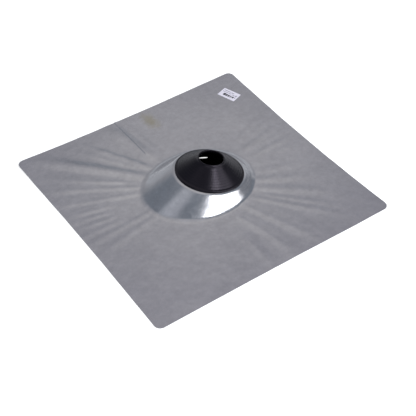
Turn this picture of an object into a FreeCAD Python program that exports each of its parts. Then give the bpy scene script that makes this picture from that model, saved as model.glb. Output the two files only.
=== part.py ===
"""Pipe flashing boot for a vent pipe through a sloped roof.

One galvanised steel sheet is drawn into a low oval dome, and a moulded rubber collar snaps
into the hole at the top of the dome and grips the pipe. A small paper sticker lies on the sheet.
Frame: the underside of the sheet is the plane z = 0, the origin is the middle of the square,
+Z is up off the roof deck and +X points up the roof slope.
"""
import FreeCAD, Part
import math
import os

from FreeCAD import Vector

# ---------------------------------------------------------------- driving dimensions (mm, degrees)
SHEET_SIDE = 317.5          # square sheet, over its corners
SHEET_T = 0.55              # 26 gauge galvanised steel
SHEET_CORNER_R = 8.0
PULL_IN_UP = 3.0            # how far drawing the dome pulled in the middle of each side
PULL_IN_LEFT = 2.2
PULL_IN_DOWN = 1.6
PULL_IN_RIGHT = 0.8

DOME_X = -1.0               # middle of the dome's oval foot
DOME_HALF_LENGTH = 69.0     # along the roof slope
DOME_HALF_WIDTH = 56.5
FOOT_BEND = 5.0             # how far the bend at the foot reaches each way
SEAT_X = 15.8               # middle of the collar's seat, on its upper face
SEAT_Z = 13.7
SEAT_TILT = 9.0             # the seat leans up the slope, so that the pipe stands upright
SHOULDER_R = 43.6           # corner where the seat turns down into the dome
SHOULDER_BEND = 2.2
LIP_R = 36.5                # free edge of the in-turned lip under the collar

FIELD_MARGIN = 8.75         # flat margin outside the wrinkles, at the middle of a side
FIELD_GAP = 1.0             # flat sheet between the dome's bend and the wrinkles
EDGE_STEP = 2.0             # degrees over which a fan of wrinkles eases into the flat sheet

# Draw wrinkles: angle at the foot of the dome, angle at the outer end, crest height and half
# width in degrees. Angles run from up the slope towards the left side.
DOWN_SLOPE_FAN = [
    (115.8, 119.0, 0.65, 2.8), (122.2, 124.4, 0.40, 2.4), (131.5, 132.6, 0.80, 3.4),
    (140.6, 141.0, 0.45, 2.6), (147.6, 148.4, 0.60, 2.8), (155.6, 156.8, 0.60, 2.8),
    (163.6, 164.2, 0.50, 2.8), (170.6, 170.8, 0.45, 2.8), (177.4, 177.6, 0.45, 2.8),
    (184.4, 183.8, 0.50, 2.8), (192.0, 190.6, 0.50, 3.2),
]
RIGHT_FAN = [
    (277.2, 275.6, 0.60, 3.4), (289.2, 289.8, 0.60, 3.6), (304.4, 306.4, 0.75, 3.8),
    (317.4, 318.4, 0.60, 3.6), (328.8, 328.0, 0.50, 3.6),
]

COLLAR_R = 41.3             # outer edge of the collar's rim
COLLAR_RIM_H = 3.0
COLLAR_FOOT_R = 38.4        # where the cone rises from the rim
COLLAR_WALL = 2.6           # rubber wall of the cone
COLLAR_TOP_H = 20.2         # top of the pipe lip over the seat
COLLAR_EDGE_R = 1.1         # rounded edge of the rim
COLLAR_THROAT_R = 34.0      # clear radius inside the snap groove
COLLAR_UNDER_R = 39.4       # retaining flange inside the dome
COLLAR_UNDER_H = 2.4
COLLAR_LEAD_IN = 1.2        # bevel that lets the retaining flange snap in
GROOVE_FIT = 0.0            # the groove closes on the steel lip, face to face
PIPE_R = 14.45              # bore that grips the pipe
PIPE_LIP_T = 2.8            # rubber round the bore
PIPE_LIP_H = 3.2            # length of the bore
PIPE_LIP_EDGE_R = 1.2

STICKER_FROM_UP_SIDE = 29.15    # its middle, from the upper and the left side of the sheet
STICKER_FROM_LEFT_SIDE = 39.45
STICKER_LENGTH = 25.7
STICKER_WIDTH = 16.4
STICKER_T = 0.15
STICKER_TURN = -71.0        # direction of its long side

# ------------------------------------------------------------------------- how finely curves are cut
DOME_POINTS = 24            # points round each section of the dome
SHOULDER_STEPS = 2          # strips across the bend at the shoulder
FOOT_STEPS = 2              # strips across the bend at the foot
FIELD_SHARES = [0.0, 0.2, 0.6, 1.0]   # control rows along the wrinkles
TROUGH_WIDTH = 3.0          # neighbours closer than this, in degrees, share one trough
EASED_FULLNESS = 0.41       # the middle of a quarter round, between its chord and its corner
CREST_GAIN = 2.0            # a raised control line lifts a cubic face by half of its height

FIELD_R = SHEET_SIDE / 2 - FIELD_MARGIN
UP = Vector(0, 0, 1)
SEAT_CENTRE = Vector(SEAT_X, 0, SEAT_Z)
SEAT_AXIS = Vector(math.sin(math.radians(SEAT_TILT)), 0, math.cos(math.radians(SEAT_TILT)))
SEAT_UPHILL = Vector(SEAT_AXIS.z, 0, -SEAT_AXIS.x)
SEAT_LEFT = Vector(0, 1, 0)


def seat_point(angle, radius):
    """A point of the collar's tilted seat plane."""
    return SEAT_CENTRE + SEAT_UPHILL * (radius * math.cos(angle)) + SEAT_LEFT * (radius * math.sin(angle))


def foot_radius(angle):
    """Radius of the dome's oval foot, seen from its middle."""
    across = DOME_HALF_WIDTH * math.cos(angle)
    along = DOME_HALF_LENGTH * math.sin(angle)
    return DOME_HALF_LENGTH * DOME_HALF_WIDTH / math.hypot(across, along)


def flat_point(angle, radius, height=0.0):
    """A point over the sheet's upper face, by angle and radius from the middle of the dome."""
    return Vector(DOME_X + radius * math.cos(angle), radius * math.sin(angle), SHEET_T + height)


def bend(start, corner, end, steps):
    """Points along a bend that leaves start and meets end towards the corner."""
    shares = [i / steps for i in range(steps + 1)]
    return [start * (1 - s) ** 2 + corner * (2 * s * (1 - s)) + end * s ** 2 for s in shares]


def dome_profile(angle):
    """The sheet's upper face from the collar's seat, down the dome and out onto the flange."""
    shoulder = seat_point(angle, SHOULDER_R)
    foot = flat_point(angle, foot_radius(angle))
    down = Vector(foot - shoulder).normalize()
    on_seat = seat_point(angle, SHOULDER_R - SHOULDER_BEND)
    on_flange = flat_point(angle, foot_radius(angle) + FOOT_BEND)
    return (bend(on_seat, shoulder, shoulder + down * SHOULDER_BEND, SHOULDER_STEPS)
            + bend(foot - down * FOOT_BEND, foot, on_flange, FOOT_STEPS))


def under_profile(upper, before, after):
    """The sheet's under face below the same profile, one thickness down along the normals."""
    lower = [upper[0] - SEAT_AXIS * SHEET_T]
    for j in range(1, len(upper) - 1):
        normal = (upper[j + 1] - upper[j - 1]).cross(after[j] - before[j]).normalize()
        lower.append(upper[j] - normal * SHEET_T)
    lower.append(upper[-1] - UP * SHEET_T)
    return lower


def section_edges(profiles):
    """One closed smooth curve round the dome for each point of its profile."""
    edges = []
    for section in zip(*profiles):
        curve = Part.BSplineCurve()
        curve.interpolate(Points=list(section), PeriodicFlag=True)
        edges.append(curve.toShape())
    return edges


def strips(edges):
    return [Part.makeRuledSurface(inner, outer) for inner, outer in zip(edges, edges[1:])]


def fan_columns(wrinkles):
    """Angles at the foot and at the outer end, with the height, of each line along the fan."""
    first, last = wrinkles[0], wrinkles[-1]
    columns = []
    for ease in (2 * EDGE_STEP, EDGE_STEP):
        columns.append((first[0] - first[3] - ease, first[1] - first[3] - ease, 0.0))
    for inner, outer, crest, half in wrinkles:
        if inner - half < columns[-1][0] + TROUGH_WIDTH:
            trough = columns.pop()
            columns.append(((trough[0] + inner - half) / 2, (trough[1] + outer - half) / 2, 0.0))
        else:
            columns.append((inner - half, outer - half, 0.0))
        columns.append((inner, outer, crest * CREST_GAIN))
        columns.append((inner + half, outer + half, 0.0))
    for ease in (EDGE_STEP, 2 * EDGE_STEP):
        columns.append((last[0] + last[3] + ease, last[1] + last[3] + ease, 0.0))
    return columns


def fan_surface(wrinkles):
    """The sheet's upper face over one fan of wrinkles, flat all round its edge."""
    rows = []
    for inner, outer, height in fan_columns(wrinkles):
        row = []
        for number, share in enumerate(FIELD_SHARES):
            angle = math.radians(inner + (outer - inner) * share)
            start = foot_radius(angle) + FOOT_BEND + FIELD_GAP
            raised = height if 0 < number < len(FIELD_SHARES) - 1 else 0.0
            row.append(flat_point(angle, start + (FIELD_R - start) * share, raised))
        rows.append(row)
    surface = Part.BSplineSurface()
    across, along = len(rows) - 2, len(FIELD_SHARES) - 2
    surface.buildFromPolesMultsKnots(
        rows, [4] + [1] * (across - 2) + [4], [4] + [1] * (along - 2) + [4],
        list(range(across)), list(range(along)), False, False, 3, 3)
    return surface


def sheet_outline(z):
    """The square outline, with rounded corners and sides that the drawing pulled in."""
    half = SHEET_SIDE / 2
    straight = half - SHEET_CORNER_R
    corner = half - SHEET_CORNER_R * (1 - math.sqrt(0.5))
    edges = []
    for quarter, pull_in in enumerate([PULL_IN_UP, PULL_IN_LEFT, PULL_IN_DOWN, PULL_IN_RIGHT]):
        turn = FreeCAD.Rotation(UP, 90 * quarter)
        side = [(half, -straight), (half - pull_in, 0), (half, straight), (corner, corner), (straight, half)]
        points = [turn.multVec(Vector(x, y, z)) for x, y in side]
        edges.append(Part.Arc(*points[0:3]).toShape())
        edges.append(Part.Arc(*points[2:5]).toShape())
    return Part.Wire(edges)


def face_with_holes(wires):
    return Part.makeFace(wires, "Part::FaceMakerBullseye")


def flashing_base():
    """Flange, wrinkles, drawn dome and the in-turned lip, all one sheet."""
    profiles = [dome_profile(2 * math.pi * i / DOME_POINTS) for i in range(DOME_POINTS)]
    lower_profiles = [under_profile(profiles[i], profiles[i - 1], profiles[(i + 1) % DOME_POINTS])
                      for i in range(DOME_POINTS)]
    faces = []
    for side_profiles, drop in ((profiles, 0.0), (lower_profiles, SHEET_T)):
        edges = section_edges(side_profiles)
        faces.extend(strips(edges))
        lip_edge = Part.Circle(SEAT_CENTRE - SEAT_AXIS * drop, SEAT_AXIS, LIP_R).toShape()
        faces.append(face_with_holes([Part.Wire(edges[0]), Part.Wire(lip_edge)]))
        fans = [fan_surface(fan).toShape() for fan in (DOWN_SLOPE_FAN, RIGHT_FAN)]
        for fan in fans:
            fan.translate(UP * -drop)
        flange_wires = [sheet_outline(SHEET_T - drop), Part.Wire(edges[-1])]
        flange_wires.extend(fan.OuterWire for fan in fans)
        faces.append(face_with_holes(flange_wires))
        faces.extend(fans)
    lip = Part.makeCylinder(LIP_R, SHEET_T, SEAT_CENTRE - SEAT_AXIS * SHEET_T, SEAT_AXIS)
    faces.append(lip.Faces[0])
    faces.extend(sheet_outline(0).extrude(UP * SHEET_T).Faces)
    shell = Part.makeShell(faces)
    shell.sewShape()
    solid = Part.Solid(shell)
    if solid.Volume < 0:
        solid.reverse()
    return solid


def eased(corner, before, after, reach):
    """A profile corner eased by two narrow bevels, as three (radius, height) points."""
    def towards(other, distance):
        share = distance / math.dist(corner, other)
        return tuple(c + (o - c) * share for c, o in zip(corner, other))

    start, end = towards(before, reach), towards(after, reach)
    middle = tuple((s + e) / 2 + ((c - (s + e) / 2) * EASED_FULLNESS) for s, e, c in zip(start, end, corner))
    return [start, middle, end]


def sealing_collar():
    """Rubber collar, turned about the seat's axis: rim, cone, pipe lip, snap groove and flange."""
    lip_outer_r = PIPE_R + PIPE_LIP_T
    lip_foot_h = COLLAR_TOP_H - PIPE_LIP_EDGE_R * 2
    rim_corner, cone_foot = (COLLAR_R, COLLAR_RIM_H), (COLLAR_FOOT_R, COLLAR_RIM_H)
    bore_mouth = (PIPE_R, COLLAR_TOP_H)
    cone = math.atan2(lip_foot_h - COLLAR_RIM_H, COLLAR_FOOT_R - lip_outer_r)
    groove_r = LIP_R - GROOVE_FIT
    under_h = -SHEET_T - COLLAR_UNDER_H
    bore_foot_h = COLLAR_TOP_H - PIPE_LIP_H
    inner_top_h = COLLAR_RIM_H + (COLLAR_FOOT_R - COLLAR_THROAT_R) * math.tan(cone) - COLLAR_WALL / math.cos(cone)
    cone_end_h = inner_top_h + (COLLAR_THROAT_R - lip_outer_r) * math.tan(cone)
    outline = [
        (groove_r, 0.0),
        (COLLAR_R, 0.0),
        *eased(rim_corner, (COLLAR_R, 0.0), cone_foot, COLLAR_EDGE_R),
        cone_foot,
        (lip_outer_r, lip_foot_h),
        *eased((lip_outer_r, COLLAR_TOP_H), (lip_outer_r, lip_foot_h), bore_mouth, PIPE_LIP_EDGE_R),
        bore_mouth,
        (PIPE_R, bore_foot_h),
        (lip_outer_r, cone_end_h),
        (COLLAR_THROAT_R, inner_top_h),
        (COLLAR_THROAT_R, under_h),
        (COLLAR_UNDER_R - COLLAR_LEAD_IN, under_h),
        (COLLAR_UNDER_R, under_h + COLLAR_LEAD_IN),
        (COLLAR_UNDER_R, -SHEET_T),
        (groove_r, -SHEET_T),
    ]
    points = [SEAT_CENTRE + SEAT_UPHILL * radius + SEAT_AXIS * height for radius, height in outline]
    return Part.Face(Part.makePolygon(points + points[:1])).revolve(SEAT_CENTRE, SEAT_AXIS, 360)


def price_sticker():
    """Plain paper sticker, flat on the upper face near the corner."""
    sticker = Part.makeBox(STICKER_LENGTH, STICKER_WIDTH, STICKER_T,
                           Vector(-STICKER_LENGTH / 2, -STICKER_WIDTH / 2, 0))
    sticker.rotate(Vector(0, 0, 0), UP, STICKER_TURN)
    half = SHEET_SIDE / 2
    sticker.translate(Vector(half - STICKER_FROM_UP_SIDE, half - STICKER_FROM_LEFT_SIDE, SHEET_T))
    return sticker


NODES = {
    "flashing_base": flashing_base,
    "sealing_collar": sealing_collar,
    "price_sticker": price_sticker,
}

os.makedirs("parts", exist_ok=True)
for name, build in NODES.items():
    shape = build()
    shape.exportStep("parts/" + name + ".step")
    print(name, shape.ShapeType, shape.isValid(), round(shape.Volume, 1), shape.BoundBox)
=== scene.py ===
import math

import bpy
from mathutils import Matrix, Vector


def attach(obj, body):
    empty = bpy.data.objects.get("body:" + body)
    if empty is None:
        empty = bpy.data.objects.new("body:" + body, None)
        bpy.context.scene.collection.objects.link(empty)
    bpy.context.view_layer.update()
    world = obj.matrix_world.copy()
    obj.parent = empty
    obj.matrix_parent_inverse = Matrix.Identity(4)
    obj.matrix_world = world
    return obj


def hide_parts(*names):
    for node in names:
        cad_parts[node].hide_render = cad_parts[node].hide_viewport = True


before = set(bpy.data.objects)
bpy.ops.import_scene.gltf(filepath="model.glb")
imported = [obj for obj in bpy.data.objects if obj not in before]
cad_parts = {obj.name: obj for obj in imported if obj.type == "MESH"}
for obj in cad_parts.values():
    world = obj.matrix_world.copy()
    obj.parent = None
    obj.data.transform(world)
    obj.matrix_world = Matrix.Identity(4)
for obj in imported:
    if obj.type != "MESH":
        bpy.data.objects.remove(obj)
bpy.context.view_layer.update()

# ------------------------------------------------------------- sizes, the CAD model's or near them
MM = 0.001
SAME_PLACE = 0.01 * MM          # vertices this near to each other are one
SAME_CORNER = 0.02 * MM         # and a vertex this near to a corner's place is that corner
ON_OVAL = 1e-4                  # a vertex off an oval by less than this share of it is on it
ON_PLANE = 0.001 * MM           # the same for a plane, the shoulder and a side, as lengths
ON_SHOULDER = 0.01 * MM
ON_SIDE = 0.1 * MM
SHEET_HALF_SIDE = 158.75 * MM
SHEET_THICKNESS = 0.55 * MM
SHEET_CORNER_RADIUS = 8.0 * MM
CORNER_CUTS = 6                 # straight cuts that round each corner
# Each side's outward direction, and how far the drawing has pulled its middle in.
SIDE_PULL_IN = {(1, 0): 3.0 * MM, (0, 1): 2.2 * MM, (-1, 0): 1.6 * MM, (0, -1): 0.8 * MM}
PULL_REACHES = (120.0 * MM, 80.0 * MM, 40.0 * MM)   # half lengths of side pulled, one by one

DOME_MIDDLE = Vector((-1.0 * MM, 0, 0))
DOME_HALF_LENGTH = 69.5 * MM
DOME_HALF_WIDTH = 57.1 * MM
FOOT_BEND = 4.4 * MM            # how far from the foot line its rounding starts
FOOT_SEGMENTS = 6
SEAT_CENTRE = Vector((15.8, 0, 13.7)) * MM
SEAT_TILT = math.radians(9.0)
SEAT_AXIS = Vector((math.sin(SEAT_TILT), 0, math.cos(SEAT_TILT)))
SEAT_UPHILL = Vector((math.cos(SEAT_TILT), 0, -math.sin(SEAT_TILT)))
SHOULDER_RADIUS = 43.6 * MM
SHOULDER_BEND = 2.2 * MM
SHOULDER_SEGMENTS = 5
LIP_RADIUS = 36.5 * MM

AROUND = 480                    # quads round the dome
FOOT_APRON = 8.0 * MM           # flat ring that the foot bend is rounded into
FINE_REACH = 91.0 * MM          # how far past the foot the rings of quads lie close
FINE_STEP = 3.5 * MM
COARSE_REACH = 168.0 * MM       # past the square's corners
COARSE_STEP = 15.4 * MM

# Draw wrinkles: angle in degrees at the foot and at the outer end, bow between them in degrees,
# height, half width, inner and outer radius in mm, and the side on which the metal falls away
# gently: 1 towards larger angles, -1 towards smaller ones, 0 for neither.
WRINKLES = [
    (94.0, 94.0, 0, 0.50, 6.0, 80, 150, 0), (102.2, 102.2, 0, 1.20, 14.5, 74, 160, 0),
    (117.2, 118.4, 0, 0.88, 6.8, 66, 158, 0), (122.0, 122.8, 0, 0.60, 6.2, 72, 162, 0),
    (131.8, 132.2, 0, 1.18, 11.8, 64, 190, 0), (131.8, 132.4, 0, 0.50, 13.0, 108, 196, 0),
    (142.1, 142.3, 0, 0.46, 3.8, 86, 172, -1), (148.2, 149.0, 0, 0.46, 5.4, 68, 178, -1),
    (157.4, 158.0, 0, 0.38, 5.0, 70, 168, -1), (165.0, 165.2, 0, 0.34, 4.2, 106, 158, -1),
    (169.2, 169.2, 0, 0.36, 4.2, 108, 158, 0), (174.0, 174.0, 0, 0.36, 4.6, 108, 158, 0),
    (179.0, 179.0, 0, 0.38, 4.8, 108, 158, 0), (184.8, 184.4, 0, 0.34, 5.6, 72, 158, 0),
    (192.4, 191.6, 0, 0.34, 6.6, 70, 150, 0), (266.6, 266.8, 0, 0.52, 3.2, 98, 160, 1),
    (275.6, 277.2, 2.6, 0.52, 5.0, 68, 162, 1), (291.4, 291.4, 0, 0.50, 7.2, 64, 158, 1),
    (307.0, 308.4, 0, 0.62, 6.6, 68, 170, 0), (312.4, 313.0, 0, 0.46, 6.0, 74, 160, 0),
    (321.0, 321.0, 0, 0.60, 9.6, 68, 152, 0), (331.8, 331.4, 0, 0.50, 9.6, 66, 128, 0),
    (342.6, 342.6, 0, 0.26, 8.0, 78, 134, 0), (357.0, 357.2, 0, 0.26, 4.2, 110, 154, 0),
    (3.0, 2.8, 0, 0.42, 5.4, 88, 154, 0), (8.4, 8.2, 0, 0.26, 4.0, 114, 154, 0),
    (13.4, 13.2, 0, 0.44, 7.0, 82, 150, 0), (19.0, 19.0, 0, 0.34, 5.4, 106, 156, 0),
    (24.0, 24.0, 0, 0.24, 6.0, 90, 146, 0), (73.0, 73.0, 0, 0.34, 5.0, 96, 144, 0),
]
WRINKLE_PASSES = 3              # each wrinkle is pulled up in this many parts
WRINKLE_TAPER_IN = 4.0          # each part starts this much further out, in mm
WRINKLE_TAPER_OUT = 9.0         # and stops this much sooner, in mm
CREST_TOLERANCE = 0.5           # degrees, a little over half a column of quads
TAIL_OFFSET = 1.25              # the gentle side is a wider swell beside the crest: its distance
TAIL_WIDTH = 2.5                # and its width, in half widths of the wrinkle
SMOOTHING_SHARE = 0.5           # after the wrinkles, the flat's heights are evened out
SMOOTHING_TIMES = 4
CREASE_X = -22.0 * MM           # straight handling crease up to the sheet's left side
CREASE_FROM_Y = 78.0 * MM
CREASE_HEIGHT = 0.44 * MM
CREASE_STEP = 0.6 * MM          # the metal steps up in this width, then falls away gently
CREASE_REACH = 7.0 * MM
CORNER_LIFT = 1.0 * MM
CORNER_LIFT_FROM = 6.0 * MM     # what lies this near to the square's corner is lifted in full
CORNER_LIFT_REACH = 55.0 * MM
LIFTED_CORNERS = ((-1, 1), (1, -1))

COLLAR_RADIUS = 41.3 * MM
COLLAR_RIM_HEIGHT = 2.3 * MM
COLLAR_FOOT_RADIUS = 39.4 * MM
COLLAR_TOP_HEIGHT = 20.2 * MM
COLLAR_WALL = 2.6 * MM
COLLAR_THROAT_RADIUS = 34.0 * MM
COLLAR_UNDER_RADIUS = 39.4 * MM     # the bead under the sheet that holds the collar
COLLAR_UNDER_HEIGHT = 2.4 * MM
COLLAR_UNDER_BEVEL = 1.2 * MM
PIPE_RADIUS = 14.45 * MM
PIPE_LIP_THICKNESS = 2.8 * MM
PIPE_LIP_HEIGHT = 3.2 * MM
PIPE_LIP_RISE = 2.4 * MM            # the part of it that stands above the cone
PIPE_LIP_CROWN = 0.5 * MM           # how much higher its middle is than its two edges
PIPE_LIP_CROWN_OUT = 1.9 * MM       # how far out from the bore its outer edge lies
PIPE_LIP_CROWN_MIDDLE = 0.9 * MM    # and its middle
COLLAR_STEPS = 144              # quads round the collar
CONE_RING_SPACING = 3.2 * MM    # fine tool rings up the cone
CONE_RING_HEIGHT = 0.10 * MM
CONE_RING_WIDTH = 1.2 * MM
CONE_RING_ROUNDING = 0.4 * MM
CORNER_SEGMENTS = 4             # of each rounded corner of the collar and the sticker
SHEET_SMOOTH_ANGLE = 30         # degrees: edges that are flatter than this are shaded smooth
COLLAR_SMOOTH_ANGLE = 35

STICKER_MIDDLE = Vector((129.6 * MM, 119.3 * MM, SHEET_THICKNESS))
STICKER_LENGTH = 25.7 * MM
STICKER_WIDTH = 16.4 * MM
STICKER_THICKNESS = 0.15 * MM
STICKER_CORNER_RADIUS = 0.9 * MM
STICKER_TURN = math.radians(-71.0)


# ------------------------------------------------------------------------------- modelling helpers
def deselect_all():
    bpy.ops.object.select_all(action="DESELECT")


def select_vertices(piece, wanted):
    """Selects in edit mode only the vertices whose place passes the test."""
    bpy.ops.object.mode_set(mode="EDIT")
    bpy.ops.mesh.select_mode(type="VERT")
    bpy.ops.mesh.select_all(action="DESELECT")
    bpy.ops.object.mode_set(mode="OBJECT")
    for vertex in piece.data.vertices:
        vertex.select = wanted(vertex.co)
    bpy.ops.object.mode_set(mode="EDIT")


def select_edges(piece, wanted):
    """Selects in edit mode only the edges whose two ends together pass the test."""
    bpy.ops.object.mode_set(mode="EDIT")
    bpy.ops.mesh.select_mode(type="EDGE")
    bpy.ops.mesh.select_all(action="DESELECT")
    bpy.ops.object.mode_set(mode="OBJECT")
    places = piece.data.vertices
    for edge in piece.data.edges:
        first, second = edge.vertices
        edge.select = wanted(places[first].co, places[second].co)
    bpy.ops.object.mode_set(mode="EDIT")


def widen_ring(scale, centre):
    """Extrudes the selected ring and scales the new ring about a point."""
    bpy.ops.mesh.extrude_region_move()
    bpy.ops.transform.resize(value=scale, center_override=centre)


def push(step, reach):
    """Moves what is selected, and what lies near it less and less with distance."""
    bpy.ops.transform.translate(
        value=step, use_proportional_edit=True, proportional_edit_falloff="SMOOTH",
        proportional_size=reach)


def finish_mesh(piece, smooth_angle):
    bpy.ops.object.mode_set(mode="OBJECT")
    deselect_all()
    piece.select_set(True)
    bpy.context.view_layer.objects.active = piece
    bpy.ops.object.transform_apply(location=True, rotation=True, scale=True)
    bpy.ops.object.shade_smooth_by_angle(angle=math.radians(smooth_angle))


# ------------------------------------------------------------------------------- places on the part
def oval(co, grown):
    """1 on the dome's foot oval grown by a distance, less inside it and more outside."""
    return math.hypot((co.x - DOME_MIDDLE.x) / (DOME_HALF_LENGTH + grown),
                      co.y / (DOME_HALF_WIDTH + grown))


def on_oval(co, grown):
    return abs(oval(co, grown) - 1) < ON_OVAL and abs(co.z - SHEET_THICKNESS) < ON_PLANE


def on_seat(co):
    """Radius about the seat's axis and height over the seat."""
    offset = co - SEAT_CENTRE
    height = offset.dot(SEAT_AXIS)
    return (offset - SEAT_AXIS * height).length, height


def on_shoulder(co):
    radius, height = on_seat(co)
    return abs(radius - SHOULDER_RADIUS) < ON_SHOULDER and abs(height) < ON_SHOULDER


def polar(co):
    """Angle in degrees and radius in mm about the middle of the dome."""
    x, y = co.x - DOME_MIDDLE.x, co.y
    return math.degrees(math.atan2(y, x)) % 360, math.hypot(x, y) / MM


# -------------------------------------------------------------------------------- the steel sheet
def drawn_dome():
    """Rings from the lip over the shoulder, down the dome and out onto the flat."""
    deselect_all()
    bpy.ops.mesh.primitive_circle_add(
        vertices=AROUND, radius=LIP_RADIUS, location=SEAT_CENTRE, rotation=(0, SEAT_TILT, 0))
    sheet = bpy.context.object
    sheet.name = "flashing_sheet"
    bpy.ops.object.transform_apply(location=True, rotation=True, scale=True)
    bpy.ops.object.mode_set(mode="EDIT")
    bpy.ops.mesh.select_all(action="SELECT")
    shoulder_scale = SHOULDER_RADIUS / LIP_RADIUS
    widen_ring((shoulder_scale,) * 3, SEAT_CENTRE)

    bpy.ops.mesh.extrude_region_move()
    foot_centre = DOME_MIDDLE + Vector((0, 0, SHEET_THICKNESS))
    bpy.ops.transform.rotate(value=SEAT_TILT, orient_axis="Y", center_override=SEAT_CENTRE)
    bpy.ops.transform.translate(value=foot_centre - SEAT_CENTRE)
    bpy.ops.transform.resize(
        value=(DOME_HALF_LENGTH / SHOULDER_RADIUS, DOME_HALF_WIDTH / SHOULDER_RADIUS, 1),
        center_override=foot_centre)
    grow_flat(0, FOOT_APRON)

    select_edges(sheet, lambda a, b: ((on_shoulder(a) and on_oval(b, 0))
                                      or (on_shoulder(b) and on_oval(a, 0))))
    bpy.ops.mesh.subdivide(number_cuts=1)
    select_edges(sheet, lambda a, b: on_shoulder(a) and on_shoulder(b))
    bpy.ops.mesh.bevel(offset=SHOULDER_BEND, segments=SHOULDER_SEGMENTS, affect="EDGES")
    select_edges(sheet, lambda a, b: on_oval(a, 0) and on_oval(b, 0))
    bpy.ops.mesh.bevel(offset=FOOT_BEND, segments=FOOT_SEGMENTS, affect="EDGES")
    return sheet


def grow_flat(inner, outer):
    """Extrudes the selected oval ring outwards on the flat."""
    scale = [(half + outer) / (half + inner) for half in (DOME_HALF_LENGTH, DOME_HALF_WIDTH)]
    widen_ring((scale[0], scale[1], 1), DOME_MIDDLE + Vector((0, 0, SHEET_THICKNESS)))


def flat_round_dome(sheet):
    """Fine rings where the metal wrinkles, then coarse ones past the square's corners."""
    select_vertices(sheet, lambda co: on_oval(co, FOOT_APRON))
    reach = FOOT_APRON
    while reach < COARSE_REACH:
        step = FINE_STEP if reach < FINE_REACH else COARSE_STEP
        grow_flat(reach, reach + step)
        reach += step


def cut_to_square():
    """Cuts the flat by its four sides, then rounds each corner with tangent cuts."""
    cuts = [(Vector((x, y, 0)) * SHEET_HALF_SIDE, Vector((x, y, 0))) for x, y in SIDE_PULL_IN]
    middle = SHEET_HALF_SIDE - SHEET_CORNER_RADIUS
    for corner in range(4):
        for cut in range(CORNER_CUTS):
            angle = math.radians(90 * (corner + (cut + 0.5) / CORNER_CUTS))
            outwards = Vector((math.cos(angle), math.sin(angle), 0))
            centre = Vector((math.copysign(middle, outwards.x),
                             math.copysign(middle, outwards.y), 0))
            cuts.append((centre + outwards * SHEET_CORNER_RADIUS, outwards))
    for place, outwards in cuts:
        bpy.ops.mesh.select_all(action="SELECT")
        bpy.ops.mesh.bisect(plane_co=place, plane_no=outwards, clear_outer=True)


def raise_wrinkles(sheet):
    """Pulls each wrinkle up along its crest, in parts that grow shorter so that its ends taper."""
    for angle_in, angle_out, bow, height, half_width, inner, outer, tail_side in WRINKLES:
        swells = [(0, half_width, part) for part in range(WRINKLE_PASSES)]
        if tail_side:
            offset = tail_side * TAIL_OFFSET * half_width
            swells += [(offset, TAIL_WIDTH * half_width, part) for part in range(WRINKLE_PASSES)]
        for offset, width, part in swells:
            first, last = inner + part * WRINKLE_TAPER_IN, outer - part * WRINKLE_TAPER_OUT

            def on_crest(co):
                angle, radius = polar(co)
                if not first < radius < last:
                    return False
                share = (radius - inner) / (outer - inner)
                crest = angle_in + (angle_out - angle_in) * share + bow * 4 * share * (1 - share)
                off = (angle - crest - math.degrees(offset / radius) + 180) % 360 - 180
                return abs(off) < CREST_TOLERANCE

            select_vertices(sheet, on_crest)
            push((0, 0, height * MM / WRINKLE_PASSES), width * MM)


def press_crease(sheet):
    """The straight crease: two edges cut into the flat, then the metal right of them pulled up."""
    for x in (CREASE_X - CREASE_STEP, CREASE_X):
        select_vertices(sheet, lambda co: co.y > CREASE_FROM_Y and oval(co, FOOT_BEND) > 1)
        bpy.ops.mesh.bisect(plane_co=(x, 0, 0), plane_no=(1, 0, 0))
    select_vertices(sheet, lambda co: co.x < CREASE_X - CREASE_STEP / 2)
    bpy.ops.mesh.hide()
    select_vertices(sheet, lambda co: abs(co.x - CREASE_X) < ON_PLANE and co.y > CREASE_FROM_Y)
    push((0, 0, CREASE_HEIGHT), CREASE_REACH)
    bpy.ops.mesh.reveal(select=False)


def pull_sides_in(sheet):
    """Bows each side of the square in, as the drawing of the dome has done."""
    for (x, y), depth in SIDE_PULL_IN.items():
        outwards, along = Vector((x, y, 0)), Vector((-y, x, 0))
        for reach in PULL_REACHES:
            select_vertices(sheet, lambda co: (
                co.dot(outwards) > SHEET_HALF_SIDE - depth - ON_SIDE
                and abs(co.dot(along)) < reach))
            push(-outwards * depth / len(PULL_REACHES), PULL_REACHES[-1])


def make_sheet():
    """The drawn sheet as one surface, then given its thickness downwards."""
    sheet = drawn_dome()
    flat_round_dome(sheet)
    cut_to_square()
    raise_wrinkles(sheet)
    select_vertices(sheet, lambda co: oval(co, FOOT_BEND) > 1)
    bpy.ops.mesh.vertices_smooth(factor=SMOOTHING_SHARE, repeat=SMOOTHING_TIMES,
                                 xaxis=False, yaxis=False, zaxis=True)
    press_crease(sheet)
    pull_sides_in(sheet)
    for x, y in LIFTED_CORNERS:
        corner = Vector((x, y, 0)) * SHEET_HALF_SIDE
        select_vertices(sheet, lambda co: (co - corner).to_2d().length < CORNER_LIFT_FROM)
        push((0, 0, CORNER_LIFT), CORNER_LIFT_REACH)
    bpy.ops.mesh.select_all(action="SELECT")
    bpy.ops.mesh.normals_make_consistent(inside=False)
    bpy.ops.object.mode_set(mode="OBJECT")
    # an open surface has no inside, so all its faces may have been turned down
    if sum(face.normal.z for face in sheet.data.polygons) < 0:
        bpy.ops.object.mode_set(mode="EDIT")
        bpy.ops.mesh.flip_normals()
        bpy.ops.object.mode_set(mode="OBJECT")
    wall = sheet.modifiers.new("wall", "SOLIDIFY")
    wall.thickness = SHEET_THICKNESS
    wall.offset = -1
    bpy.ops.object.modifier_apply(modifier=wall.name)
    finish_mesh(sheet, SHEET_SMOOTH_ANGLE)
    return sheet


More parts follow.
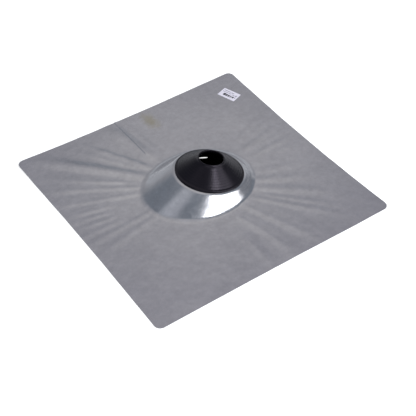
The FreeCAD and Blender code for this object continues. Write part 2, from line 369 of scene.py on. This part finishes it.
# ------------------------------------------------------------------------------ the rubber collar
def cone_rings(cone, slope_length):
    """Corners of the fine rings up the outside of the cone, from its foot to its top."""
    up_slope = (-math.cos(cone), math.sin(cone))
    off_slope = (math.sin(cone), math.cos(cone))
    corners = []
    middle = CONE_RING_SPACING
    while middle < slope_length - CONE_RING_WIDTH:
        for side, lift in ((-0.5, 0), (0, CONE_RING_HEIGHT), (0.5, 0)):
            along = middle + side * CONE_RING_WIDTH
            corners.append((COLLAR_FOOT_RADIUS + up_slope[0] * along + off_slope[0] * lift,
                            COLLAR_RIM_HEIGHT + up_slope[1] * along + off_slope[1] * lift,
                            CONE_RING_ROUNDING))
        middle += CONE_RING_SPACING
    return corners


def collar_outline():
    """Radius and height of each corner of the collar's section, and how much it is rounded."""
    lip_radius = PIPE_RADIUS + PIPE_LIP_THICKNESS
    lip_foot = COLLAR_TOP_HEIGHT - PIPE_LIP_RISE
    lip_edge = COLLAR_TOP_HEIGHT - PIPE_LIP_CROWN
    rise, run = lip_foot - COLLAR_RIM_HEIGHT, COLLAR_FOOT_RADIUS - lip_radius
    cone = math.atan2(rise, run)
    under = -SHEET_THICKNESS - COLLAR_UNDER_HEIGHT
    inner_top = (COLLAR_RIM_HEIGHT + (COLLAR_FOOT_RADIUS - COLLAR_THROAT_RADIUS) * math.tan(cone)
                 - COLLAR_WALL / math.cos(cone))
    inner_lip = inner_top + (COLLAR_THROAT_RADIUS - lip_radius) * math.tan(cone)
    rim = [
        (LIP_RADIUS, 0, 0),
        (COLLAR_RADIUS, 0, 0.2 * MM),
        (COLLAR_RADIUS, COLLAR_RIM_HEIGHT, 0.8 * MM),
        (COLLAR_FOOT_RADIUS, COLLAR_RIM_HEIGHT, 0.7 * MM),
    ]
    pipe_lip = [
        (lip_radius, lip_foot, 1.3 * MM),
        (PIPE_RADIUS + PIPE_LIP_CROWN_OUT, lip_edge, 0.9 * MM),
        (PIPE_RADIUS + PIPE_LIP_CROWN_MIDDLE, COLLAR_TOP_HEIGHT, 0.35 * MM),
        (PIPE_RADIUS, lip_edge, 0.35 * MM),
        (PIPE_RADIUS, COLLAR_TOP_HEIGHT - PIPE_LIP_HEIGHT, 0.3 * MM),
    ]
    inside = [
        (lip_radius, inner_lip, 0.5 * MM),
        (COLLAR_THROAT_RADIUS, inner_top, 0.5 * MM),
        (COLLAR_THROAT_RADIUS, under, 0.3 * MM),
    ]
    bead = [
        (COLLAR_UNDER_RADIUS - COLLAR_UNDER_BEVEL, under, 0.3 * MM),
        (COLLAR_UNDER_RADIUS, under + COLLAR_UNDER_BEVEL, 0.3 * MM),
        (COLLAR_UNDER_RADIUS, -SHEET_THICKNESS, 0),
        (LIP_RADIUS, -SHEET_THICKNESS, 0),
    ]
    return rim + cone_rings(cone, math.hypot(rise, run)) + pipe_lip + inside + bead


def make_collar():
    """The section drawn corner by corner from one point, rounded, spun about the seat's axis."""
    outline = collar_outline()
    places = [SEAT_CENTRE + SEAT_UPHILL * radius + SEAT_AXIS * height
              for radius, height, rounding in outline]
    deselect_all()
    bpy.ops.mesh.primitive_plane_add(size=MM, location=places[0])
    collar = bpy.context.object
    collar.name = "rubber_collar"
    bpy.ops.object.transform_apply(location=True, rotation=True, scale=True)
    bpy.ops.object.mode_set(mode="EDIT")
    bpy.ops.mesh.select_mode(type="VERT")
    bpy.ops.mesh.select_all(action="SELECT")
    bpy.ops.mesh.merge(type="CENTER")
    for here, there in zip(places, places[1:] + places[:1]):
        bpy.ops.mesh.extrude_region_move(TRANSFORM_OT_translate={"value": there - here})
    bpy.ops.mesh.select_all(action="SELECT")
    bpy.ops.mesh.remove_doubles(threshold=SAME_PLACE)
    for rounding in sorted({corner[2] for corner in outline if corner[2]}, reverse=True):
        corners = [place for place, corner in zip(places, outline) if corner[2] == rounding]
        select_vertices(
            collar, lambda co: any((co - corner).length < SAME_CORNER for corner in corners))
        bpy.ops.mesh.bevel(
            offset=rounding, segments=CORNER_SEGMENTS, affect="VERTICES", clamp_overlap=True)
    bpy.ops.mesh.select_all(action="SELECT")
    bpy.ops.mesh.spin(steps=COLLAR_STEPS, angle=math.tau, center=SEAT_CENTRE, axis=SEAT_AXIS)
    bpy.ops.mesh.select_all(action="SELECT")
    bpy.ops.mesh.remove_doubles(threshold=SAME_PLACE)
    bpy.ops.mesh.normals_make_consistent(inside=False)
    finish_mesh(collar, COLLAR_SMOOTH_ANGLE)
    return collar


# ------------------------------------------------------------------------------- the paper sticker
def make_sticker():
    """A thin slip of paper with soft corners, lying flat on the sheet."""
    deselect_all()
    bpy.ops.mesh.primitive_plane_add(size=1, location=STICKER_MIDDLE, rotation=(0, 0, STICKER_TURN))
    sticker = bpy.context.object
    sticker.name = "paper_sticker"
    sticker.scale = (STICKER_LENGTH, STICKER_WIDTH, 1)
    bpy.ops.object.transform_apply(location=True, rotation=True, scale=True)
    bpy.ops.object.mode_set(mode="EDIT")
    bpy.ops.mesh.select_all(action="SELECT")
    bpy.ops.mesh.bevel(
        offset=STICKER_CORNER_RADIUS, segments=CORNER_SEGMENTS, affect="VERTICES")
    bpy.ops.object.mode_set(mode="OBJECT")
    paper = sticker.modifiers.new("paper", "SOLIDIFY")
    paper.thickness = STICKER_THICKNESS
    paper.offset = 1
    bpy.ops.object.modifier_apply(modifier=paper.name)
    finish_mesh(sticker, SHEET_SMOOTH_ANGLE)
    return sticker


# ------------------------------------------------------------------------------------ node helpers
def colour(hex_value):
    """sRGB hex to linear."""
    channels = [int(hex_value[i:i + 2], 16) / 255 for i in (0, 2, 4)]
    return tuple(c / 12.92 if c <= 0.04045 else ((c + 0.055) / 1.055) ** 2.4
                 for c in channels) + (1,)


def add_node(tree, kind, inputs=None, **settings):
    """Adds one node; each of its inputs is given a value or the output that feeds it."""
    node = tree.nodes.new(kind)
    for name, value in settings.items():
        setattr(node, name, value)
    for socket, source in (inputs or {}).items():
        if isinstance(source, bpy.types.NodeSocket):
            tree.links.new(source, node.inputs[socket])
        else:
            node.inputs[socket].default_value = source
    return node


def calculate(tree, operation, first, second):
    return add_node(tree, "ShaderNodeMath", {0: first, 1: second}, operation=operation).outputs[0]


def distance_out(tree, vector):
    return add_node(tree, "ShaderNodeVectorMath", {0: vector}, operation="LENGTH").outputs["Value"]


def ramp(tree, value, start, end, low=0.0, high=1.0, interpolation="LINEAR"):
    """Turns what runs from start to end into what runs from low to high."""
    return add_node(
        tree, "ShaderNodeMapRange",
        {"Value": value, "From Min": start, "From Max": end, "To Min": low, "To Max": high},
        interpolation_type=interpolation).outputs["Result"]


def mix(tree, factor, first, second, blend="MIX"):
    return add_node(tree, "ShaderNodeMix", {"Factor": factor, "A": first, "B": second},
                    data_type="RGBA", blend_type=blend).outputs["Result"]


def noise(tree, place, size, detail, roughness=0.5):
    """Noise whose large lumps are about as wide as size, in metres."""
    return add_node(tree, "ShaderNodeTexNoise",
                    {"Vector": place, "Scale": 1 / size, "Detail": detail, "Roughness": roughness}
                    ).outputs["Fac"]


def local(tree, place, middle, half_size, turn=0.0):
    """Place as seen from a spot on the surface, with the spot's half size as the unit."""
    return add_node(tree, "ShaderNodeMapping",
                    {"Vector": place, "Location": middle, "Rotation": (0, 0, turn),
                     "Scale": half_size}, vector_type="TEXTURE").outputs["Vector"]


def object_place(tree):
    return add_node(tree, "ShaderNodeTexCoord").outputs["Object"]


def new_material(name):
    material = bpy.data.materials.new(name)
    material.use_nodes = True
    shader = next(node for node in material.node_tree.nodes if node.type == "BSDF_PRINCIPLED")
    return material, material.node_tree, shader


# ------------------------------------------------------------------------------------ the finishes
CLOUD_SIZE = 90 * MM
SPANGLE_SIZE = 4 * MM
HANDLING_MARK_SIZE = 9 * MM
HANDLING_MARKS = (0.93, 1.07)          # how much they darken and lighten the zinc
UNSHADED_PLACE = (25 * MM, 55 * MM, 0)   # painted shade: the zinc's colour darkens away from here
PAINTED_SHADE_REACH = (85 * MM, 235 * MM)    # where the painted shade starts, and where it is in full
STEEL_ROUGHNESS = (0.19, 0.24)
WAVE_SIZE = 22 * MM                    # soft unevenness of the thin sheet
WAVE_DEPTH = 0.5 * MM
FULL_WAVES_BELOW = 1.5 * MM            # the plate waves in full
FAINT_WAVES_ABOVE = 5 * MM             # the stretched metal of the dome only faintly
FAINT_WAVES = 0.12
STAIN_MIDDLE = (17.5 * MM, 133 * MM, 0)
STAIN_HALF_SIZE = (11 * MM, 21.5 * MM, 1)
STAIN_EDGE = (1.7, 0.5)                # its outside and its inside, in half sizes, ragged by noise
STAIN_STRENGTH = 0.7


def galvanised_steel():
    """Hot-dip zinc on thin sheet: a satin grey metal with soft clouding and a faint spangle."""
    material, tree, shader = new_material("galvanised_steel")
    place = object_place(tree)

    clouds = ramp(tree, noise(tree, place, CLOUD_SIZE, 5.0, 0.55), 0.25, 0.75)
    zinc = mix(tree, clouds, colour("BBBBC0"), colour("C9C9CD"))
    marks = ramp(tree, noise(tree, place, HANDLING_MARK_SIZE, 4.0, 0.7), 0.3, 0.7, *HANDLING_MARKS)
    handled = add_node(tree, "ShaderNodeVectorMath", {0: zinc, 1: marks}, operation="MULTIPLY")

    # Painted shade: the zinc's colour is made darker with distance from one place, standing in for
    # dimmer reflections there
    from_unshaded = add_node(tree, "ShaderNodeVectorMath", {0: place, 1: UNSHADED_PLACE},
                           operation="DISTANCE")
    painted_shade = ramp(tree, from_unshaded.outputs["Value"], *PAINTED_SHADE_REACH)
    shaded_zinc = mix(tree, painted_shade, handled.outputs["Vector"], colour("E3E3E9"), "MULTIPLY")

    stain_out = distance_out(tree, local(tree, place, STAIN_MIDDLE, STAIN_HALF_SIZE))
    ragged_out = calculate(tree, "ADD", stain_out, noise(tree, place, 6 * MM, 3.0))
    stain = ramp(tree, ragged_out, *STAIN_EDGE, high=STAIN_STRENGTH, interpolation="SMOOTHSTEP")
    stained = mix(tree, stain, shaded_zinc, colour("B3AD96"))
    tree.links.new(stained, shader.inputs["Base Color"])

    spangle = add_node(tree, "ShaderNodeTexVoronoi", {"Vector": place, "Scale": 1 / SPANGLE_SIZE})
    rough = ramp(tree, spangle.outputs["Color"], 0.0, 1.0, *STEEL_ROUGHNESS)
    tree.links.new(rough, shader.inputs["Roughness"])
    shader.inputs["Metallic"].default_value = 1.0

    height = add_node(tree, "ShaderNodeSeparateXYZ", {0: place}).outputs["Z"]
    on_plate = ramp(tree, height, FAINT_WAVES_ABOVE, FULL_WAVES_BELOW, low=FAINT_WAVES)
    waves = add_node(tree, "ShaderNodeBump", {"Distance": WAVE_DEPTH, "Strength": on_plate,
                                              "Height": noise(tree, place, WAVE_SIZE, 3.0)})
    tree.links.new(waves.outputs["Normal"], shader.inputs["Normal"])
    return material


def moulded_rubber():
    """EPDM from a steel mould: near black and satin, with a thin uneven bloom."""
    material, tree, shader = new_material("moulded_rubber")
    bloom = noise(tree, object_place(tree), 20 * MM, 4.0)
    tree.links.new(mix(tree, bloom, colour("060508"), colour("0D0C11")),
                   shader.inputs["Base Color"])
    shader.inputs["Roughness"].default_value = 0.27
    shader.inputs["Specular IOR Level"].default_value = 0.28
    shader.inputs["Specular Tint"].default_value = colour("F3E9FF")
    return material


# Print on the label, in half lengths and half widths from its middle: middle, then half size.
PRINTED_LINES = [
    (-0.44, 0.60, 0.38, 0.08), (0.20, 0.56, 0.18, 0.08), (-0.36, 0.24, 0.50, 0.07),
    (0.42, 0.18, 0.16, 0.08), (0.74, 0.20, 0.08, 0.20), (0.80, -0.24, 0.06, 0.12),
]
PRINTED_BARS = (-0.06, -0.32, 0.50, 0.25)
PRINTED_MARKS = [(-0.42, -0.30, 0.10, 0.25), (0.58, -0.30, 0.09, 0.20)]
BARS_TO_HALF_LENGTH = 14.0
BAR_THRESHOLD = 0.43            # above this level of the noise, there is ink


def label_paper():
    """Coated white label stock, thermal printed with a generic bar block and plain grey lines."""
    material, tree, shader = new_material("label_paper")
    place = object_place(tree)
    half_size = (STICKER_LENGTH / 2, STICKER_WIDTH / 2, 1)
    on_label = local(tree, place, STICKER_MIDDLE, half_size, STICKER_TURN)

    def block(x, y, half_width, half_height):
        """1 inside a rectangle on the label, 0 outside it."""
        inside = local(tree, on_label, (x, y, 0), (half_width, half_height, 1))
        size = add_node(tree, "ShaderNodeVectorMath", {0: inside}, operation="ABSOLUTE")
        axes = add_node(tree, "ShaderNodeSeparateXYZ", {0: size.outputs["Vector"]}).outputs
        return calculate(tree, "LESS_THAN", calculate(tree, "MAXIMUM", axes["X"], axes["Y"]), 1.0)

    paper = mix(tree, noise(tree, place, 0.8 * MM, 2.0), colour("E6E2F0"), colour("EEEBF7"))
    for line in PRINTED_LINES:
        paper = mix(tree, block(*line), paper, colour("A3A1AE"))
    along = add_node(tree, "ShaderNodeSeparateXYZ", {0: on_label}).outputs["X"]
    stripes = add_node(tree, "ShaderNodeTexNoise",
                       {"W": along, "Scale": BARS_TO_HALF_LENGTH, "Detail": 0.0},
                       noise_dimensions="1D")
    inked = calculate(tree, "GREATER_THAN", stripes.outputs["Fac"], BAR_THRESHOLD)
    bars = calculate(tree, "MULTIPLY", block(*PRINTED_BARS), inked)
    paper = mix(tree, bars, paper, colour("34333B"))
    for mark in PRINTED_MARKS:
        paper = mix(tree, block(*mark), paper, colour("2B2A31"))
    tree.links.new(paper, shader.inputs["Base Color"])
    shader.inputs["Roughness"].default_value = 0.55
    return material


# ------------------------------------------------------------------------------ put on the frame
sheet = make_sheet()
sheet.data.materials.append(galvanised_steel())
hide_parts("flashing_base")
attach(sheet, "root")

collar = make_collar()
collar.data.materials.append(moulded_rubber())
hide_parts("sealing_collar")
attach(collar, "root")

sticker = make_sticker()
sticker.data.materials.append(label_paper())
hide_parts("price_sticker")
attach(sticker, "root")


# ------------------------------------------------------------------------------------- the floor
FLOOR_SIDE = 30                         # metres
FLOOR_DROP = 0.3 * MM
FLOOR_GLOW = 0.6
PAINTED_SHADE_RADIUS = 100 * MM            # painted shade: the floor under the part is near black and gives no light
MIRRORED_SHADE_REACH = (0.70, 0.25)     # metres over which the mirrored floor dims to nothing
PAINTED_LIGHT_SPOT = (32.4 * MM, 37.4 * MM, 0)   # painted light: a glowing sliver of floor that shows through the bore
PAINTED_LIGHT_SPOT_TURN = math.radians(-30)
PAINTED_LIGHT_SPOT_HALF_SIZE = (5.6 * MM, 0.9 * MM, 1)


def background_rays(tree):
    """1 for camera, glossy and transmission rays, 0 for the rest."""
    path = add_node(tree, "ShaderNodeLightPath").outputs
    camera_or_glossy = calculate(tree, "MAXIMUM", path["Is Camera Ray"], path["Is Glossy Ray"])
    return calculate(tree, "MAXIMUM", camera_or_glossy, path["Is Transmission Ray"])


def make_floor():
    """A pale paper floor: its own light brings it to white, and it keeps the part's shadow."""
    deselect_all()
    bpy.ops.mesh.primitive_plane_add(size=FLOOR_SIDE, location=(0, 0, -FLOOR_DROP))
    floor = bpy.context.object
    floor.name = "paper_floor"
    bpy.ops.object.transform_apply(location=True, rotation=True, scale=True)
    material, tree, shader = new_material("white_paper_floor")
    shader.inputs["Roughness"].default_value = 0.9
    shader.inputs["Specular IOR Level"].default_value = 0.0
    shader.inputs["Emission Color"].default_value = (1, 1, 1, 1)

    place = object_place(tree)
    from_middle = distance_out(tree, place)
    # Painted shade: a near-black disc of floor under the part, where only shade falls
    clear = calculate(tree, "GREATER_THAN", from_middle, PAINTED_SHADE_RADIUS)
    tree.links.new(mix(tree, clear, colour("0A0A0A"), colour("E6E6E6")),
                   shader.inputs["Base Color"])

    close_by = ramp(tree, from_middle, *MIRRORED_SHADE_REACH, interpolation="SMOOTHSTEP")
    mirrored = add_node(tree, "ShaderNodeLightPath").outputs["Is Glossy Ray"]
    shade = calculate(tree, "MULTIPLY", mirrored, close_by)
    unshaded = calculate(tree, "SUBTRACT", 1.0, shade)
    glow = calculate(tree, "MULTIPLY", calculate(tree, "MULTIPLY", clear, FLOOR_GLOW), unshaded)
    # Painted light: the floor glows in a thin sliver inside the dark disc, seen through the bore
    spot_out = distance_out(tree, local(tree, place, PAINTED_LIGHT_SPOT, PAINTED_LIGHT_SPOT_HALF_SIZE, PAINTED_LIGHT_SPOT_TURN))
    lit = calculate(tree, "ADD", glow, calculate(tree, "LESS_THAN", spot_out, 1.0))
    tree.links.new(calculate(tree, "MULTIPLY", background_rays(tree), lit),
                   shader.inputs["Emission Strength"])
    floor.data.materials.append(material)


# ------------------------------------------------------------------------------- the studio's light
# Azimuths run from +X towards +Y, elevations up from the floor, both in degrees.
STUDIO_BASE = (0.23, 0.26, 0.30)
# Where the studio is lighter: azimuth, elevation, inner and outer angle from there, and its level.
# Each patch lies over the ones before it.
STUDIO_PATCHES = [
    (87, 55, 6, 16, (0.50, 0.50, 0.53)),         # pale ceiling edge, left of the part
    (108, 70, 3, 10, (0.58, 0.59, 0.62)),        # the ceiling beyond that edge
    (55, 45, 4, 24, (0.53, 0.525, 0.545)),       # pale wall behind the part
    (53, 64, 11, 22.5, (0.67, 0.66, 0.66)),      # top of that wall, nearer the lamps
    (80, 23, 8, 20, (0.43, 0.43, 0.45)),         # its low left part
    (37, 13, 9, 21, (0.72, 0.72, 0.74)),         # its low right part
    (70, 84, 5, 16, (0.60, 0.60, 0.62)),         # straight overhead
    (140, 64.5, 1.5, 9.5, (0.72, 0.75, 0.80)),   # near end of a narrow bounce panel
    (222, 28, 18, 36, (1.00, 1.02, 1.05)),       # broad fill on the camera's side
    (160, 69.5, 1.5, 9.0, (0.62, 0.64, 0.69)),   # far end of the narrow bounce panel
]
HORIZON_LEVEL = (0.52, 0.54, 0.57)
HORIZON_PLANES = (0.42, 0.22)          # sines of the elevations between which it comes in
DARK_STAND = (352, 6, 20, 38, (0.245, 0.26, 0.29))
# Name, azimuth, elevation, distance, width and height in metres, power in watts.
SOFTBOXES = [
    ("side_softbox", 301, 36, 1.2, 1.24, 0.85, 9.0),
    ("upper_softbox", 293, 60, 1.2, 0.32, 0.32, 3.8),
]


def towards(azimuth, elevation):
    azimuth, elevation = math.radians(azimuth), math.radians(elevation)
    return Vector((math.cos(azimuth) * math.cos(elevation),
                   math.sin(azimuth) * math.cos(elevation), math.sin(elevation)))


def make_world():
    """The studio round the part: a dim room, its lighter patches, the horizon and a dark stand."""
    world = bpy.data.worlds.new("studio")
    bpy.context.scene.world = world
    world.use_nodes = True
    tree = world.node_tree
    background = next(node for node in tree.nodes if node.type == "BACKGROUND")
    direction = add_node(tree, "ShaderNodeTexCoord").outputs["Generated"]

    def near(azimuth, elevation, inner, outer):
        """1 within the inner angle of a direction, 0 past the outer angle."""
        cosine = add_node(tree, "ShaderNodeVectorMath",
                          {0: direction, 1: towards(azimuth, elevation)}, operation="DOT_PRODUCT")
        return ramp(tree, cosine.outputs["Value"], math.cos(math.radians(outer)),
                    math.cos(math.radians(inner)), interpolation="SMOOTHSTEP")

    height = add_node(tree, "ShaderNodeSeparateXYZ", {0: direction}).outputs["Z"]
    low = ramp(tree, height, *HORIZON_PLANES, interpolation="SMOOTHSTEP")
    layers = [(near(*patch[:4]), patch[4]) for patch in STUDIO_PATCHES]
    layers += [(low, HORIZON_LEVEL), (near(*DARK_STAND[:4]), DARK_STAND[4])]
    level = (*STUDIO_BASE, 1)
    for factor, target in layers:
        level = mix(tree, factor, level, (*target, 1))
    tree.links.new(level, background.inputs["Color"])


def add_softbox(name, azimuth, elevation, distance, width, height, power):
    deselect_all()
    place = towards(azimuth, elevation) * distance
    aim = (-place).to_track_quat("-Z", "Y").to_euler()
    bpy.ops.object.light_add(type="AREA", location=place, rotation=aim)
    lamp = bpy.context.object
    lamp.name = name
    lamp.data.shape = "RECTANGLE"
    lamp.data.size = width
    lamp.data.size_y = height
    lamp.data.energy = power


# ------------------------------------------------------------------------------------- the camera
CAMERA_TARGET = Vector((-0.01304, -0.03855, 0))   # metres
CAMERA_DISTANCE = 1.216386                        # metres
CAMERA_SENSOR = 36                                # mm
CAMERA_LENS = 91.02                               # mm
CAMERA_TURN = -34.066                             # degrees about the vertical
CAMERA_PITCH = 44.102                             # degrees down
CAMERA_ROLL = -0.886                              # degrees about the line of sight


def add_camera():
    deselect_all()
    bpy.ops.object.camera_add()
    camera = bpy.context.object
    camera.data.sensor_width = CAMERA_SENSOR
    camera.data.lens = CAMERA_LENS
    turn = (Matrix.Rotation(math.radians(CAMERA_TURN), 3, "Z")
            @ Matrix.Rotation(math.radians(90 - CAMERA_PITCH), 3, "X")
            @ Matrix.Rotation(math.radians(CAMERA_ROLL), 3, "Z"))
    camera.rotation_euler = turn.to_euler()
    camera.location = CAMERA_TARGET + turn @ Vector((0, 0, CAMERA_DISTANCE))
    bpy.context.scene.camera = camera


make_floor()
make_world()
for softbox in SOFTBOXES:
    add_softbox(*softbox)
add_camera()
bpy.context.scene.view_settings.view_transform = "Standard"
